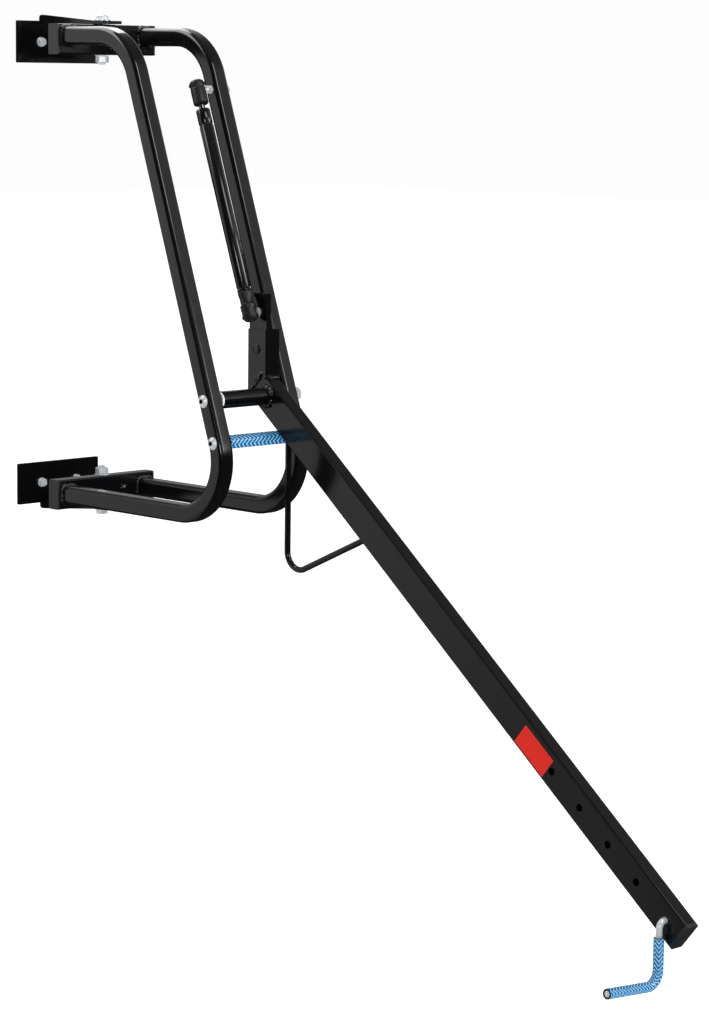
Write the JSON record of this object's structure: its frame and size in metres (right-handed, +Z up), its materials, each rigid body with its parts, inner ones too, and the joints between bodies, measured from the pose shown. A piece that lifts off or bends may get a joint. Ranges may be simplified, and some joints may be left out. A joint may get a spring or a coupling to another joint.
{
  "type": "bicycle wall rack",
  "caption": "Wall-mounted bicycle rack: swivelling tube frame with a gas-strut lift arm, a wheel rest loop and an adjustable wheel hook.",
  "frame": {"origin": "on the wall face, in the middle of the four wall screws", "axes": "+X away from the wall, +Z up, +Y towards the side that carries the lift arm"},
  "size_m": [1.4347, 0.2155, 1.4044],
  "materials": {
    "bracket_coat": "satin powder coat",
    "frame_coat": "satin powder coat",
    "loop_coat": "satin paint",
    "cylinder_coat": "gloss paint",
    "zinc": "zinc plated",
    "plain_steel": "turned",
    "chromed_rod": "polished",
    "spring_steel": "blackened",
    "cap_plastic": "moulded",
    "plug_plastic": "moulded",
    "socket_plastic": "moulded",
    "white_nylon": "moulded",
    "seal_rubber": "smooth",
    "blue_braid": "clear skin over woven yarn",
    "red_label": "printed film"
  },
  "bodies": {
    "wall": {"upper_wall_bracket": "bracket_coat", "lower_wall_bracket": "bracket_coat", "wall_screws": "zinc", "upper_hinge_bolt": "zinc", "lower_hinge_bolt": "zinc", "upper_hinge_nut": "zinc", "lower_hinge_nut": "zinc", "hinge_bolt_washers": "zinc", "slip_washers": "white_nylon"},
    "frame": {"upper_crossbar": "frame_coat", "lower_crossbar": "frame_coat", "crossbar_end_caps": "cap_plastic", "hinge_sleeves": "plain_steel", "left_side_tube": "frame_coat", "right_side_tube": "frame_coat", "crossbar_plug": "plug_plastic", "pivot_bolt": "zinc", "pivot_nut": "zinc", "stop_bolt": "zinc", "stop_nut": "zinc", "stop_hose": "blue_braid", "upper_ball_stud": "zinc", "upper_stud_nut": "zinc"},
    "arm": {"pivot_tube": "frame_coat", "left_pivot_bush": "white_nylon", "right_pivot_bush": "white_nylon", "arm_tube": "frame_coat", "arm_end_cap": "cap_plastic", "lever_sleeve": "frame_coat", "lever_bar": "frame_coat", "lever_rivet": "frame_coat", "lever_nut": "zinc", "wheel_loop": "loop_coat", "arm_label": "red_label"},
    "strut_rod": {"strut_rod": "chromed_rod", "strut_piston": "plain_steel", "upper_socket": "socket_plastic", "upper_socket_clip": "spring_steel"},
    "strut_cylinder": {"strut_cylinder": "cylinder_coat", "rod_guide": "plain_steel", "rod_seal": "seal_rubber", "strut_end_plug": "plain_steel", "lower_socket": "socket_plastic", "lower_socket_clip": "spring_steel", "lower_ball_stud": "zinc"},
    "hook": {"hook_rod": "zinc", "hook_hose": "blue_braid", "hook_washer": "zinc", "hook_nut": "zinc"}
  },
  "joints": [
    {"name": "frame_swivel", "type": "hinge", "parent": "wall", "child": "frame", "pos_m": [0.12, 0, 0], "axis": [0, 0, 1], "range_deg": [-85, 85]},
    {"name": "arm_lift", "type": "hinge", "parent": "frame", "child": "arm", "pos_m": [0.486, 0, -0.191], "axis": [0, -1, 0], "range_deg": [0, 120]},
    {"name": "strut_swing", "type": "hinge", "parent": "frame", "child": "strut_rod", "pos_m": [0.31493, 0.04, 0.29751], "axis": [0.0772, 0.9965, -0.0316], "range_deg": [0, 17.12]},
    {"name": "strut_extend", "type": "slide", "parent": "strut_rod", "child": "strut_cylinder", "axis": [0.396, -0.0597, -0.9163], "range_m": [0, 0.191]},
    {"name": "hook_swing", "type": "hinge", "parent": "arm", "child": "hook", "pos_m": [1.34596, 0, -0.8849], "axis": [0, -1, 0], "continuous": true}
  ],
  "couplings": [
    {"joint": "strut_swing", "follows": "arm_lift", "ratio": 0.14259},
    {"joint": "strut_extend", "follows": "arm_lift", "m_per_rad": 0.091166}
  ]
}
